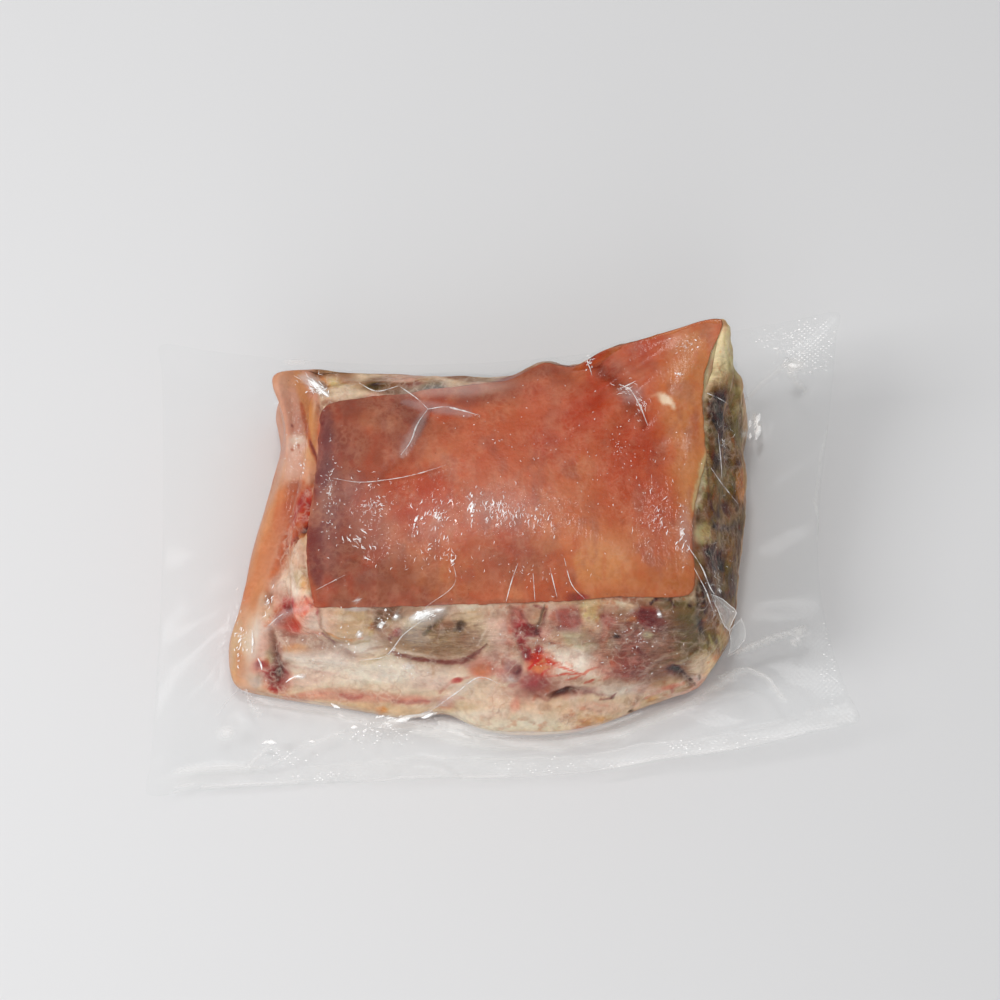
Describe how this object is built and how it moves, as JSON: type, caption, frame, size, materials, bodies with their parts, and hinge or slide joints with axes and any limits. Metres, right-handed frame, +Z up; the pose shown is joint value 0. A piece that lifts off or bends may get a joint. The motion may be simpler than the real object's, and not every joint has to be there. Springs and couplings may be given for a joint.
{
  "type": "vacuum-packed meat",
  "caption": "Block of pressed pork head meat with rind, two slabs laid together, sealed in a clear vacuum bag with a flat embossed margin",
  "frame": {"origin": "middle of the pack's outline seen from above, in the plane of its flat underside", "axes": "+Z up, +X along the longer side of the bag to the right, -Y to the front"},
  "size_m": [0.295, 0.216, 0.0747],
  "materials": {
    "rind": "moist cooked rind, smooth, satin",
    "meat": "moist cooked lean and fat, uneven",
    "film": "clear glossy film, fine embossed pattern"
  },
  "bodies": {
    "root": {"sealed_pack": "rind"}
  },
  "joints": []
}
